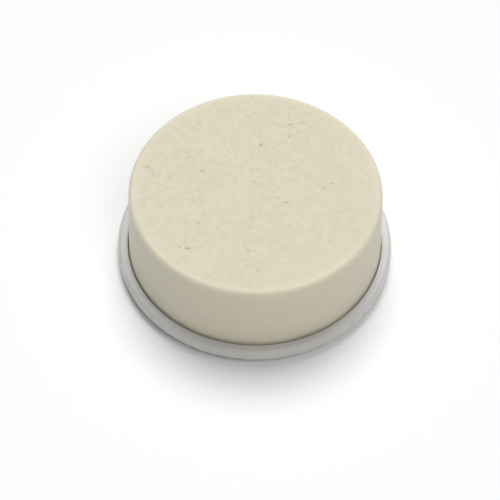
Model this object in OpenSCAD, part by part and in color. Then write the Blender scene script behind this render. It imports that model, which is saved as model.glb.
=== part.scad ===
// Shaving soap puck seated in its shallow moulded dish.
// The puck stands in the recess of the dish, held from turning by low ribs, and lifts straight out.
// Origin: centre of the foot of the dish, on the surface that it stands on. +Z is up. Millimetres.

/* [Soap puck] */
// Diameter of the puck across its underside, before the edge is eased
puck_base_d = 70; // [64:0.1:78]
// How much narrower the top face is than the underside, from the draft of the soap mould
puck_taper = 0.8; // [0:0.1:6]
// Height of the puck
puck_h = 26.3; // [16:0.1:40]
// Radius of the soft edge round the top face
puck_edge_r = 1.4; // [0.6:0.1:4]
// Radius of the eased edge round the underside
puck_base_edge_r = 0.8; // [0.3:0.1:1.5]

/* [Dish] */
// Clearance all round between the underside of the puck and the recess wall
seat_gap = 0.25; // [0.15:0.05:1]
// Height of the dish, from its foot to the top of its rim
dish_h = 5.8; // [5.6:0.1:9]
// Depth of the recess that the puck stands in
recess_depth = 3.5; // [2.5:0.1:3.5]
// Thickness of the floor under the puck
floor_t = 1.5; // [1:0.1:1.6]
// Width of the rim, from the recess wall to the widest point of the dish
rim_w = 2.75; // [2.2:0.05:5]
// Radius that rolls the top of the rim over to its outside
rim_top_r = 1.1; // [0.5:0.1:1.2]
// Radius that eases the rim into the recess
rim_inner_r = 0.35; // [0.2:0.05:0.6]
// Radius under the rim, which sweeps the side of the dish in to its foot
side_r = 4; // [2.5:0.1:4.3]
// Width of the foot ring that the dish stands on
foot_w = 2.4; // [1.5:0.1:5]
// Radius in the corner between the recess wall and the floor
corner_r = 0.4; // [0.2:0.05:0.6]

/* [Ribs] */
// Number of low ribs that rise from the floor into grooves in the puck
rib_count = 3; // [3:1:6]
// Width of a rib
rib_w = 2; // [1.2:0.1:3]
// Height of a rib above the floor
rib_h = 0.8; // [0.4:0.1:1.5]
// Distance from the middle of the dish to the inner end of a rib
rib_start = 9; // [6:0.5:14]
// Distance from the middle of the dish to the outer end of a rib
rib_end = 27; // [18:0.5:29]
// Clearance between a rib and its groove, at the sides, the ends and over the top
rib_gap = 0.25; // [0.1:0.05:0.5]

/* [Hidden] */
$fn = 180;

soap_colour = [0.87, 0.84, 0.75];
dish_colour = [0.83, 0.83, 0.82];

puck_base_r = puck_base_d / 2;
draft = atan(puck_taper / 2 / puck_h);
wall_normal = [cos(draft), sin(draft)];

recess_r = puck_base_r + seat_gap;
rim_r = recess_r + rim_w;
foot_r = rim_r - side_r;
seat_z = dish_h - recess_depth;
under_depth = seat_z - floor_t;
// How far a cutting shape runs past the face that it opens
over = 1;

// Centre of an arc that is tangent to the drafted wall of the puck, at height z
function wall_arc_centre(z, r) = [puck_base_r - z * tan(draft) - r / cos(draft), z];

// Half section of the puck: straight sides, with a round at each edge
module puck_section() {
    top_c = wall_arc_centre(puck_h - puck_edge_r, puck_edge_r);
    base_c = wall_arc_centre(puck_base_edge_r, puck_base_edge_r);
    polygon([
        [0, 0], [base_c.x, 0], base_c, base_c + puck_base_edge_r * wall_normal,
        top_c + puck_edge_r * wall_normal, top_c, [top_c.x, puck_h], [0, puck_h]
    ]);
    translate(top_c) circle(r = puck_edge_r);
    translate(base_c) circle(r = puck_base_edge_r);
}

// Quarter disc at a centre, towards the side that (right, up) says with 1 or -1
module quarter(centre, r, right, up) {
    translate(centre) intersection() {
        circle(r = r);
        translate([right < 0 ? -r : 0, up < 0 ? -r : 0]) square(r);
    }
}

// Half section of the dish, before the recess and the underside are cut: the side sweeps out from
// the foot, runs straight for a short land at the widest point, and rolls over to the top of the rim
module dish_outline() {
    roll_c = [rim_r - rim_top_r, dish_h - rim_top_r];
    side_c = [foot_r, side_r];
    polygon([
        [0, 0], [foot_r, 0], side_c, [rim_r, side_r], [rim_r, roll_c.y], roll_c,
        [roll_c.x, dish_h], [0, dish_h]
    ]);
    quarter(roll_c, rim_top_r, 1, 1);
    quarter(side_c, side_r, 1, -1);
}

// Half section of the recess: a flat floor, a small corner round, a straight wall and an eased mouth
module recess_section() {
    ease_c = [recess_r + rim_inner_r, dish_h - rim_inner_r];
    corner_c = [recess_r - corner_r, seat_z + corner_r];
    polygon([
        [0, seat_z], [corner_c.x, seat_z], corner_c, [recess_r, corner_c.y],
        [recess_r, dish_h + over], [0, dish_h + over]
    ]);
    quarter(corner_c, corner_r, 1, -1);
    difference() {
        translate([recess_r, ease_c.y]) square([rim_inner_r, rim_inner_r + over]);
        translate(ease_c) circle(r = rim_inner_r);
    }
}

// Half section of the shallow hollow inside the foot ring
module underside_section() {
    hollow_r = foot_r - foot_w;
    corner_c = [hollow_r - corner_r, under_depth - corner_r];
    polygon([
        [0, -over], [hollow_r, -over], [hollow_r, corner_c.y], corner_c,
        [corner_c.x, under_depth], [0, under_depth]
    ]);
    quarter(corner_c, corner_r, 1, 1);
}

// The ribs as upright round-ended bars, grown by a gap all round, from height z and h tall
module rib_set(gap, z, h) {
    half_w = rib_w / 2 + gap;
    inner = rib_start + rib_w / 2;
    outer = rib_end - rib_w / 2;
    for (turn = [0 : 360 / rib_count : 359])
        rotate(90 + turn) translate([0, 0, z]) linear_extrude(h) union() {
            translate([inner, -half_w]) square([outer - inner, 2 * half_w]);
            translate([inner, 0]) circle(r = half_w);
            translate([outer, 0]) circle(r = half_w);
        }
}

module soap_puck() {
    color(soap_colour)
    difference() {
        translate([0, 0, seat_z]) rotate_extrude() puck_section();
        rib_set(rib_gap, seat_z - over, over + rib_h + rib_gap);
    }
}

module dish() {
    color(dish_colour)
    union() {
        rotate_extrude() difference() {
            dish_outline();
            recess_section();
            underside_section();
        }
        rib_set(0, seat_z - floor_t / 2, floor_t / 2 + rib_h);
    }
}

soap_puck();
dish();
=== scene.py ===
import math

import bmesh
import bpy
import numpy as np
from mathutils import Matrix, Vector


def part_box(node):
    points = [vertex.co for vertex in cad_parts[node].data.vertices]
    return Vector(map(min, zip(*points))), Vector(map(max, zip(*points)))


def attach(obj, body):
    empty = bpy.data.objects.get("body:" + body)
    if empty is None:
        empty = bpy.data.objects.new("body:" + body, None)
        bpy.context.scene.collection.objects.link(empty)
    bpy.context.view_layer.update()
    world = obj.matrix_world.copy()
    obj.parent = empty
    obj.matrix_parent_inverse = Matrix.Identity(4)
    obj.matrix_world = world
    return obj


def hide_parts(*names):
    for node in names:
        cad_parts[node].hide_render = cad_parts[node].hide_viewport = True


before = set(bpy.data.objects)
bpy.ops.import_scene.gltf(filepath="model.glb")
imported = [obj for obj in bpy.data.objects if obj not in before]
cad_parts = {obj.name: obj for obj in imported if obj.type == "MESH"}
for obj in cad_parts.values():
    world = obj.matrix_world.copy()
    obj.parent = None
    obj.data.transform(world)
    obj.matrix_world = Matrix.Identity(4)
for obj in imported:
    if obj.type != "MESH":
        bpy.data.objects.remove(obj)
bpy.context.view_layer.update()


# ---------------------------------------------------------------------------------------------------
# The dish. A shallow round tray in one moulding of white polypropylene: a flat floor with low ribs, a
# recess wall, and a rim that rolls over to a swept-in side and a foot ring. It leaves its mould with a
# satin skin, and stands loose on whatever is under it.

MM = 0.001
TURN = 2 * math.pi

dish_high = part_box("dish")[1]
rim_r = dish_high.x
rim_z = dish_high.z
rim_w = 2.75 * MM
recess_depth = 3.5 * MM
floor_t = 1.5 * MM
foot_w = 2.4 * MM
side_round = 4.0 * MM
rim_round = 1.1 * MM
mouth_ease = 0.35 * MM
corner_round = 0.4 * MM
foot_ease = 0.15 * MM
recess_r = rim_r - rim_w
seat_z = rim_z - recess_depth
hollow_r = rim_r - side_round - foot_w
hollow_z = seat_z - floor_t
dish_around = 400
dish_warp = 0.012 * MM

rib_half_w = 1.0 * MM
rib_high = 0.8 * MM
rib_start = 9 * MM
rib_end = 27 * MM
rib_foot_round = 0.1 * MM
rib_top_round = 0.3 * MM
rib_sunk = 0.5 * MM
rib_end_points = 20
rib_count = 3


def section(corners, step, arc_step):
    """A half section as rows of (radius, height). Each corner is (radius, height, rounding): it is cut
    back by rounding * tan(half its turn) along both sides, and an arc of that radius joins the cuts.
    Rows on the straights are at most step apart, and those on the arcs at most arc_step."""
    p = np.array([corner[:2] for corner in corners])
    run = np.diff(p, axis=0)
    run /= np.linalg.norm(run, axis=1)[:, None]
    rows, here = [], p[0]

    def straight(start, end, closed):
        count = max(2, math.ceil(np.linalg.norm(end - start) / step))
        rows.append(start + np.linspace(0, 1, count, endpoint=closed)[:, None] * (end - start))

    for i in range(1, len(p) - 1):
        before, after, rounding = run[i - 1], run[i], corners[i][2]
        turn = math.atan2(before[0] * after[1] - before[1] * after[0], before @ after)
        cut = rounding * math.tan(abs(turn) / 2)
        start = p[i] - cut * before
        straight(here, start, False)
        inward = math.copysign(1, turn) * np.array([-before[1], before[0]])
        count = max(5, math.ceil(rounding * abs(turn) / arc_step))
        bend = np.linspace(0, turn, count, endpoint=False)[:, None]
        beside = np.array([inward[1], -inward[0]])
        rows.append(start + rounding * (inward * (1 - np.cos(bend)) + beside * np.sin(bend)))
        here = p[i] + cut * after
    straight(here, p[-1], True)
    return np.concatenate(rows)


def grid_faces(rows, columns, closed=False):
    """One quad between each pair of neighbouring rows and columns of points. A closed grid also joins
    its last column to its first."""
    row, column = np.meshgrid(np.arange(rows - 1), np.arange(columns - (not closed)), indexing="ij")
    a = row * columns + column
    b = row * columns + (column + 1) % columns
    return np.stack([a, b, b + columns, a + columns], -1).reshape(-1, 4)


def make_piece(name, sheets, body, node, marks=None):
    """One smooth-shaded mesh from several sheets of (points, faces), merged where they meet. marks is
    {attribute name: one value per point}. The piece rides on a body and stands for a CAD node."""
    points = np.concatenate([sheet[0].reshape(-1, 3) for sheet in sheets])
    first = np.cumsum([0] + [sheet[0].size // 3 for sheet in sheets])
    faces = np.concatenate([sheet[1] + start for sheet, start in zip(sheets, first)])
    mesh = bpy.data.meshes.new(name)
    mesh.from_pydata(points.tolist(), [], faces.tolist())
    for mark, values in (marks or {}).items():
        mesh.attributes.new(mark, "FLOAT", "POINT").data.foreach_set("value", values.astype(np.float32))
    shape = bmesh.new()
    shape.from_mesh(mesh)
    bmesh.ops.remove_doubles(shape, verts=shape.verts, dist=1e-7)
    bmesh.ops.dissolve_degenerate(shape, edges=shape.edges, dist=1e-7)
    bmesh.ops.recalc_face_normals(shape, faces=shape.faces)
    shape.to_mesh(mesh)
    shape.free()
    mesh.shade_smooth()
    piece = bpy.data.objects.new(name, mesh)
    bpy.context.scene.collection.objects.link(piece)
    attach(piece, body)
    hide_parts(node)
    return piece


def turned(rows, around):
    """A half section carried round the Z axis: (r cos a, r sin a, z) for every row and every angle."""
    angle = np.linspace(0, TURN, around, endpoint=False)
    r, z = rows[:, :1], rows[:, 1:]
    return np.stack([r * np.cos(angle), r * np.sin(angle), z + 0 * angle], -1)


def ripple(points, lengths, seed):
    """Random unevenness with a standard deviation of 1: the sum of one cosine for each wavelength, which
    crosses the points in a random direction d, cos(2 pi (d . p) / wavelength + a random phase)."""
    chance = np.random.default_rng(seed)
    total = np.zeros(points.shape[:-1])
    for length in lengths:
        way = chance.normal(size=3)
        way *= TURN / length / np.linalg.norm(way)
        total += np.cos(points @ way + chance.uniform(0, TURN))
    return total * math.sqrt(2 / len(lengths))


def rib_surface(turn):
    """A closed low bar with round ends, lying on a spoke at the angle turn. Its outline keeps rib_half_w
    from a straight middle line. Rings of that outline climb the sides, bend over a rounded shoulder,
    close in along the flat top to the middle line, and close the underside in the same way."""
    end = np.repeat([1, -1], rib_end_points)
    outer_end, inner_end = np.linspace(-1, 1, rib_end_points), np.linspace(1, 3, rib_end_points)
    angle = np.concatenate([outer_end, inner_end]) * TURN / 4
    middle = (rib_start + rib_end) / 2 + end * ((rib_end - rib_start) / 2 - rib_half_w)
    low, high = seat_z - rib_sunk, seat_z + rib_high
    rows = section([(0, low, 0), (rib_half_w, low, rib_foot_round), (rib_half_w, high, rib_top_round),
                    (0, high, 0)], step=0.25 * MM, arc_step=0.08 * MM)
    wide, z = rows[:, :1], rows[:, 1:]
    along, aside = middle + wide * np.cos(angle), wide * np.sin(angle)
    x = along * math.cos(turn) - aside * math.sin(turn)
    y = along * math.sin(turn) + aside * math.cos(turn)
    return np.stack([x, y, z + 0 * x], -1)


dish_rows = section(
    [(0, hollow_z, 0), (hollow_r, hollow_z, corner_round), (hollow_r, 0, foot_ease), (rim_r, 0, side_round),
     (rim_r, rim_z, rim_round), (recess_r, rim_z, mouth_ease), (recess_r, seat_z, corner_round),
     (0, seat_z, 0)],
    step=0.6 * MM, arc_step=0.1 * MM)
dish_points = turned(dish_rows, dish_around)
warp = ripple(dish_points, np.geomspace(18, 45, 12) * MM, seed=3)
dish_points[..., 2] += dish_warp * warp * (dish_points[..., 2] > hollow_z)
rib_turns = [TURN / 4 + TURN * i / rib_count for i in range(rib_count)]
dish_sheets = [(dish_points, grid_faces(len(dish_rows), dish_around, closed=True))]
for rib_turn in rib_turns:
    rib = rib_surface(rib_turn)
    dish_sheets.append((rib, grid_faces(*rib.shape[:2], closed=True)))
dish = make_piece("moulded_dish", dish_sheets, "dish", "dish")


class Field:
    """A value that varies over a surface. Arithmetic on it adds Math nodes to its finish."""

    def __init__(self, finish, socket):
        self.finish, self.socket = finish, socket

    def math(self, operation, *values):
        return self.finish.add("Math", {"operation": operation}, dict(enumerate(values)))

    def __add__(self, other):
        return self.math("ADD", self, other)

    def __sub__(self, other):
        return self.math("SUBTRACT", self, other)

    def __rsub__(self, other):
        return self.math("SUBTRACT", other, self)

    def __mul__(self, other):
        return self.math("MULTIPLY", self, other)

    __radd__, __rmul__ = __add__, __mul__

    def past(self, low, high):
        """0 below low, 1 above high, and a smooth step between them."""
        return self.finish.add("MapRange", {"interpolation_type": "SMOOTHSTEP"},
                               {"Value": self, "From Min": low, "From Max": high})


class Finish:
    """One material. add() puts a node in it: its type, its settings, then its sockets' values or links."""

    def __init__(self, name, piece):
        self.material = bpy.data.materials.new(name)
        self.material.use_nodes = True
        self.tree = self.material.node_tree
        self.tree.nodes.clear()
        piece.data.materials.append(self.material)
        self.place = self.add("TexCoord", out="Object")

    def add(self, kind, settings=None, feeds=None, out=0):
        node = self.tree.nodes.new("ShaderNode" + kind)
        for name, value in (settings or {}).items():
            setattr(node, name, value)
        for name, value in (feeds or {}).items():
            if isinstance(value, Field):
                self.tree.links.new(value.socket, node.inputs[name])
            else:
                node.inputs[name].default_value = value
        return Field(self, node.outputs[out])

    def noise(self, size, detail=2.0, roughness=0.5, stretch=None):
        """Noise whose lumps are about size metres across, drawn out along X by stretch."""
        where = self.place
        if stretch:
            where = self.add("Mapping", {}, {"Vector": where, "Scale": (1 / stretch, 1, 1)})
        return self.add("TexNoise", {}, {"Vector": where, "Scale": 1 / size, "Detail": detail,
                                         "Roughness": roughness})

    def blend(self, share, low, high):
        """The colour low where share is 0, and high where it is 1."""
        return self.add("Mix", {"data_type": "RGBA"}, {0: share, 6: low, 7: high}, out=2)

    def bump(self, height, distance):
        """A normal that leans as if the surface rose by height, where 1 means distance metres."""
        return self.add("Bump", {}, {"Height": height, "Distance": distance})

    def surface(self, **feeds):
        """The shader, joined to the output. An underscore in a name stands for a space."""
        shader = self.add("BsdfPrincipled", {}, {name.replace("_", " "): v for name, v in feeds.items()})
        output = self.tree.nodes.new("ShaderNodeOutputMaterial")
        self.tree.links.new(shader.socket, output.inputs["Surface"])


def satin_polypropylene(piece):
    """White moulded polypropylene: a faint orange-peel skin, and fine rubs that dull it here and there."""
    finish = Finish("satin_polypropylene", piece)
    cloud = finish.noise(11 * MM, 2)
    rubs = finish.noise(0.7 * MM, 3, 0.6, stretch=9).past(0.56, 0.7)
    peel = finish.noise(1.6 * MM, 1)
    colour = finish.blend(cloud.past(0.3, 0.7), (0.63, 0.632, 0.612, 1), (0.66, 0.662, 0.642, 1))
    finish.surface(
        Base_Color=colour, Roughness=0.34 + 0.1 * cloud + 0.12 * rubs, IOR=1.49,
        Subsurface_Weight=0.6, Subsurface_Scale=2.0 * MM, Subsurface_Radius=(1, 1, 1),
        Normal=finish.bump(peel - 0.3 * rubs, 0.012 * MM))


satin_polypropylene(dish)


# ---------------------------------------------------------------------------------------------------
# The soap puck. Hard shaving soap, milled and pressed into a drafted mould. Its top is matt, with fine
# grain and small pits where crumbs pulled away, and its wall is smoother. It stands in the recess on
# the dish's floor, and shallow grooves in its underside sit over the ribs, so it can't turn.

puck_low, puck_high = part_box("soap_puck")
puck_gap = 0.15 * MM
puck_taper = 0.4 * MM
puck_base_r = recess_r - puck_gap
puck_top_r = puck_base_r - puck_taper
edge_round = 1.4 * MM
base_round = 0.8 * MM
puck_rows = section(
    [(0, puck_high.z, 0), (puck_top_r, puck_high.z, edge_round), (puck_base_r, puck_low.z, base_round),
     (0, puck_low.z, 0)],
    step=0.05 * MM, arc_step=0.02 * MM)
puck_run = np.concatenate([[0], np.cumsum(np.linalg.norm(np.diff(puck_rows, axis=0), axis=1))])
top_run = puck_run[puck_rows[:, 1] > puck_high.z - 1e-9][-1]
under_run = puck_run[puck_rows[:, 1] < puck_low.z + 1e-9][0]
cap_side = 161


def puck_at(run):
    """The section's radius and height, and its outward normal, at distances run along the section."""
    r, z = (np.interp(run, puck_run, puck_rows[:, k]) for k in (0, 1))
    way_r, way_z = (np.interp(run, puck_run, np.gradient(puck_rows[:, k], puck_run)) for k in (0, 1))
    size = np.hypot(way_r, way_z)
    return r, z, -way_z / size, way_r / size


def disc(side):
    """A grid bent over the unit disc, as signed radius and angle. A point keeps its square ring, whose
    half side becomes the radius, and its share of the way along that side becomes an eighth of a turn."""
    line = np.linspace(-1, 1, side)
    x, y = np.meshgrid(line, line, indexing="ij")
    wide = np.abs(x) > np.abs(y)
    radius = np.where(wide, x, y)
    share = np.where(wide, y, x) / np.where(radius == 0, 1, radius)
    return radius, np.where(wide, TURN / 8 * share, TURN / 4 - TURN / 8 * share)


def puck_sheet(run, way_x, way_y):
    """Points of the puck, their normals and the run, for each distance along the section and direction."""
    r, z, out, up = puck_at(run)
    points = np.stack([r * way_x, r * way_y, z], -1)
    return points, np.stack([out * way_x, out * way_y, up], -1), run


def cap_sheet(edge_run, centre_run):
    """A round sheet over the disc grid: the run goes evenly from centre_run on the axis to edge_run."""
    radius, angle = disc(cap_side)
    sign = np.where(radius < 0, -1, 1)
    run = centre_run + (edge_run - centre_run) * np.abs(radius)
    return puck_sheet(run, sign * np.cos(angle), sign * np.sin(angle))


def pits(u, v, marks):
    """How deep the pits go at the surface points (u, v). A pit is (u, v, half length, half width, depth,
    turn), and its bowl is depth * exp(-q ** 2), where q is 1 on the ellipse of those half sizes."""
    depth = np.zeros(u.shape)
    for at_u, at_v, half_l, half_w, deep, turn in marks:
        du, dv = u - at_u, v - at_v
        along = (du * math.cos(turn) + dv * math.sin(turn)) / half_l
        aside = (dv * math.cos(turn) - du * math.sin(turn)) / half_w
        depth += deep * np.exp(-(along ** 2 + aside ** 2) ** 2)
    return depth


def scattered(count, seed, half_u, v_low, v_high, sizes, depths, spread=0.5):
    """Random pits, in metres: a few large and many small ones, most of them longer than they are wide."""
    chance = np.random.default_rng(seed)
    size = sizes[0] + (sizes[1] - sizes[0]) * chance.random(count) ** 3
    long = 1 + 1.3 * chance.random(count) ** 2
    return np.stack([
        chance.uniform(-half_u, half_u, count), chance.uniform(v_low, v_high, count), size * long, size,
        depths[0] + (depths[1] - depths[0]) * chance.random(count) ** 2,
        chance.normal(0.2, spread, count)], -1)


matt_fade = 2.2 * MM
press_swell = 0.022 * MM
grain_wall, grain_top = 0.0012 * MM, 0.0036 * MM
# pits this deep get the full painted shade in the soap's colour
full_pit = 0.12 * MM
groove_gap = 0.3 * MM
groove_blend = 0.5 * MM
groove_depth = 1.05 * MM


def puck_relief(points, normals, run):
    """The surface moved along its normals: broad unevenness from the press, fine grain that is stronger on
    the top face, pits, and the grooves over the ribs. Also returns how matt each point is, and its pit depth
    for painted pit shade."""
    top = 1 - np.clip((run - top_run + matt_fade) / matt_fade, 0, 1)
    lift = press_swell * ripple(points, np.geomspace(14, 40, 14) * MM, seed=5)
    lift += (grain_wall + grain_top * top) * ripple(points, np.geomspace(1.5, 5, 40) * MM, seed=6)
    x, y, z = points[..., 0], points[..., 1], points[..., 2]
    matt = top * (0.86 - 0.16 * x / puck_top_r)
    top_depth = pits(x, y, top_marks) * (normals[..., 2] > 0.2)
    across = puck_base_r * np.arctan2(x, -y)
    wall_depth = pits(across, z, wall_marks) * (np.abs(normals[..., 2]) < 0.6)
    depth = top_depth + wall_depth
    grooves = np.zeros(x.shape)
    for rib_turn in rib_turns:
        along = x * math.cos(rib_turn) + y * math.sin(rib_turn)
        aside = y * math.cos(rib_turn) - x * math.sin(rib_turn)
        past_end = np.maximum(np.maximum(rib_start + rib_half_w - along, along - rib_end + rib_half_w), 0)
        gap = (np.hypot(aside, past_end) - rib_half_w - groove_gap) / groove_blend
        grooves = np.maximum(grooves, 1 - np.clip(gap, 0, 1))
    lift -= depth + groove_depth * grooves * (normals[..., 2] < -0.9)
    return points + normals * lift[..., None], matt, np.clip(depth / full_pit, 0, 1)


# The larger pits of the top face: x, y, half length, half width and depth in millimetres, and a turn in
# radians
large_pits = [
    (-18.1, -19.8, 0.9, 0.38, 0.16, 0.1), (-20.2, -19.4, 0.4, 0.3, 0.12, 0.0),
    (9.3, 23.4, 0.7, 0.3, 0.12, 0.0), (9.0, 19.2, 0.45, 0.35, 0.12, 0.3),
    (11.5, 21.0, 0.35, 0.3, 0.1, 0.0), (1.3, 16.2, 0.5, 0.42, 0.15, 0.8),
    (-18.6, 11.4, 0.5, 0.28, 0.1, 0.5), (-14.6, 6.7, 0.6, 0.3, 0.12, 1.0),
    (-29.9, 7.7, 0.45, 0.4, 0.13, 0.2), (-28.2, 5.6, 0.35, 0.3, 0.1, 0.9),
    (-0.7, 3.2, 0.55, 0.28, 0.1, -0.6), (18.6, 1.6, 0.5, 0.28, 0.1, 0.0),
    (20.8, 3.1, 0.45, 0.3, 0.09, 0.4), (8.1, -3.7, 0.9, 0.32, 0.08, 0.1),
    (-15.7, -11.4, 0.7, 0.3, 0.1, 0.3), (-0.7, -9.7, 0.4, 0.3, 0.09, 0.0),
    (-1.4, -32.0, 0.4, 0.3, 0.1, 0.0), (-3.6, -27.9, 0.4, 0.25, 0.07, 0.2)]
top_marks = np.concatenate([
    np.array(large_pits) * ([MM] * 5 + [1]),
    scattered(170, 11, puck_top_r, -puck_top_r, puck_top_r, (0.2 * MM, 0.5 * MM), (0.012 * MM, 0.06 * MM))])
wall_marks = scattered(
    60, 12, puck_base_r * TURN / 2, rim_z, puck_high.z - edge_round, (0.18 * MM, 0.4 * MM),
    (0.01 * MM, 0.05 * MM))

wall_turns = 4 * (cap_side - 1)
wall_stops = [top_run, top_run + 1.6 * edge_round, under_run - 1.3 * MM, under_run]
wall_steps = [np.linspace(wall_stops[i], wall_stops[i + 1], count, endpoint=(i == 2))
              for i, count in enumerate((10, 48, 8))]
wall_angle = np.arange(wall_turns) * TURN / wall_turns - TURN / 8
wall_run = np.concatenate(wall_steps)[:, None] + 0 * wall_angle
sheets = [cap_sheet(top_run, 0.0),
          puck_sheet(wall_run, np.cos(wall_angle), np.sin(wall_angle)),
          cap_sheet(under_run, puck_run[-1])]
made = [puck_relief(*sheet) for sheet in sheets]
cap_faces = grid_faces(cap_side, cap_side)
puck_faces = [cap_faces, grid_faces(len(wall_run), wall_turns, closed=True), cap_faces]
puck = make_piece(
    "pressed_soap", [(m[0], f) for m, f in zip(made, puck_faces)], "soap", "soap_puck",
    marks={"matt": np.concatenate([m[1].ravel() for m in made]),
           "pit_shade": np.concatenate([m[2].ravel() for m in made])})


def pressed_soap(piece):
    """Cream soap: cloudy and finely mottled, with painted shade darkening its pits and crumb pits, matt on
    top and waxier on the wall, with light that spreads under the skin."""
    finish = Finish("pressed_soap", piece)
    matt = finish.add("Attribute", {"attribute_name": "matt"}, out="Fac")
    pit_shade = finish.add("Attribute", {"attribute_name": "pit_shade"}, out="Fac")
    cloud = finish.noise(13 * MM, 2)
    blotch = finish.noise(2.7 * MM, 2)
    mottle = finish.noise(1.45 * MM, 3, 0.5, stretch=1.15)
    grain = finish.noise(0.55 * MM, 3, 0.65)
    crumbs = finish.noise(1.3 * MM, 2, 0.5, stretch=1.25).past(0.57, 0.74)
    # The crumb pits: a dip in the bump, and painted shade that darkens their colour, more where the top is
    # matt.
    crumb_pit_shade = crumbs * (0.15 + 0.85 * matt)
    fine = 1.8 * (mottle - 0.5) + 0.55 * (blotch - 0.5) + 0.25 * (grain - 0.5)
    tone = 0.5 + 0.3 * (cloud - 0.5) + (0.25 + 0.75 * matt) * fine
    base = finish.blend(tone, (0.682, 0.634, 0.500, 1), (0.776, 0.726, 0.580, 1))
    # Painted shade: the colour darkens towards a dark brown in the pits, by their depth, for the shade
    # inside them, and more weakly on the crumb pits.
    colour = finish.blend(0.6 * pit_shade + 0.12 * crumb_pit_shade, base, (0.40, 0.36, 0.27, 1))
    height = grain + 1.2 * mottle - 0.9 * crumb_pit_shade
    finish.surface(
        Base_Color=colour, Roughness=0.5 + 0.14 * matt + 0.1 * grain, IOR=1.47,
        Subsurface_Weight=1.0, Subsurface_Scale=3.0 * MM, Subsurface_Radius=(1.0, 0.96, 0.9),
        Normal=finish.bump(height * (0.3 + 0.7 * matt), 0.024 * MM))


pressed_soap(puck)


# ---------------------------------------------------------------------------------------------------
# The studio. A plain white floor under the dish, a soft light high behind it, a weaker one high at the
# front right, a pale room all round, and a camera with a long lens that looks down on the puck.

floor_half = 4.0
floor_points = np.array([[-1, -1, 0], [1, -1, 0], [1, 1, 0], [-1, 1, 0]]) * floor_half
floor_mesh = bpy.data.meshes.new("floor")
floor_mesh.from_pydata(floor_points.tolist(), [], [(0, 1, 2, 3)])
floor = bpy.data.objects.new("floor", floor_mesh)
bpy.context.scene.collection.objects.link(floor)
floor_finish = Finish("white_floor", floor)
floor_finish.surface(Base_Color=(0.97, 0.97, 0.97, 1), Roughness=1.0, Specular_IOR_Level=0.0)


def soft_light(name, heading, height, strength, softness, colour=(1, 1, 1)):
    """A distant light, as wide as softness says, from the compass heading (0 is +Y, 90 is +X) and height
    above the floor, all in degrees."""
    lamp = bpy.data.lights.new(name, "SUN")
    lamp.energy, lamp.angle, lamp.color = strength, math.radians(softness), colour
    light = bpy.data.objects.new(name, lamp)
    towards = Vector((math.sin(math.radians(heading)) * math.cos(math.radians(height)),
                      math.cos(math.radians(heading)) * math.cos(math.radians(height)),
                      math.sin(math.radians(height))))
    light.rotation_euler = towards.to_track_quat("Z", "Y").to_euler()
    bpy.context.scene.collection.objects.link(light)


soft_light("key", 0, 68, 2.22, 35, colour=(0.975, 1.0, 0.99))
soft_light("side", 150, 60, 0.92, 35, colour=(1.0, 0.96, 0.97))


def pale_room(room_light, backdrop):
    """A white room that lights everything with room_light, and looks as bright as backdrop itself."""
    world = bpy.data.worlds.new("studio")
    world.use_nodes = True
    bpy.context.scene.world = world
    nodes, links = world.node_tree.nodes, world.node_tree.links
    seen = nodes.new("ShaderNodeLightPath").outputs["Is Camera Ray"]
    level = nodes.new("ShaderNodeMapRange")
    level.inputs["To Min"].default_value = room_light
    level.inputs["To Max"].default_value = backdrop
    links.new(seen, level.inputs["Value"])
    links.new(level.outputs["Result"], nodes["Background"].inputs["Strength"])
    nodes["Background"].inputs["Color"].default_value = (1, 1, 1, 1)


pale_room(0.11, 0.98)

elevation = math.radians(53.6)
lean = math.radians(0.97)
away = 890.6 * MM
shift_right, shift_up = -1.32 * MM, -2.55 * MM
across = Vector((1, 0, 0))
upward = Vector((0, math.sin(elevation), math.cos(elevation)))
back = Vector((0, -math.cos(elevation), math.sin(elevation)))
right = math.cos(lean) * across + math.sin(lean) * upward
up = math.cos(lean) * upward - math.sin(lean) * across
eye = Vector((0, 0, rim_z)) + shift_right * right + shift_up * up + away * back
camera_data = bpy.data.cameras.new("camera")
camera_data.sensor_width = 36
camera_data.lens = 230.4
camera_data.clip_start = 0.01
camera = bpy.data.objects.new("camera", camera_data)
camera.matrix_world = Matrix((right, up, back)).transposed().to_4x4()
camera.matrix_world.translation = eye
bpy.context.scene.collection.objects.link(camera)
bpy.context.scene.camera = camera
bpy.context.scene.view_settings.view_transform = "Standard"
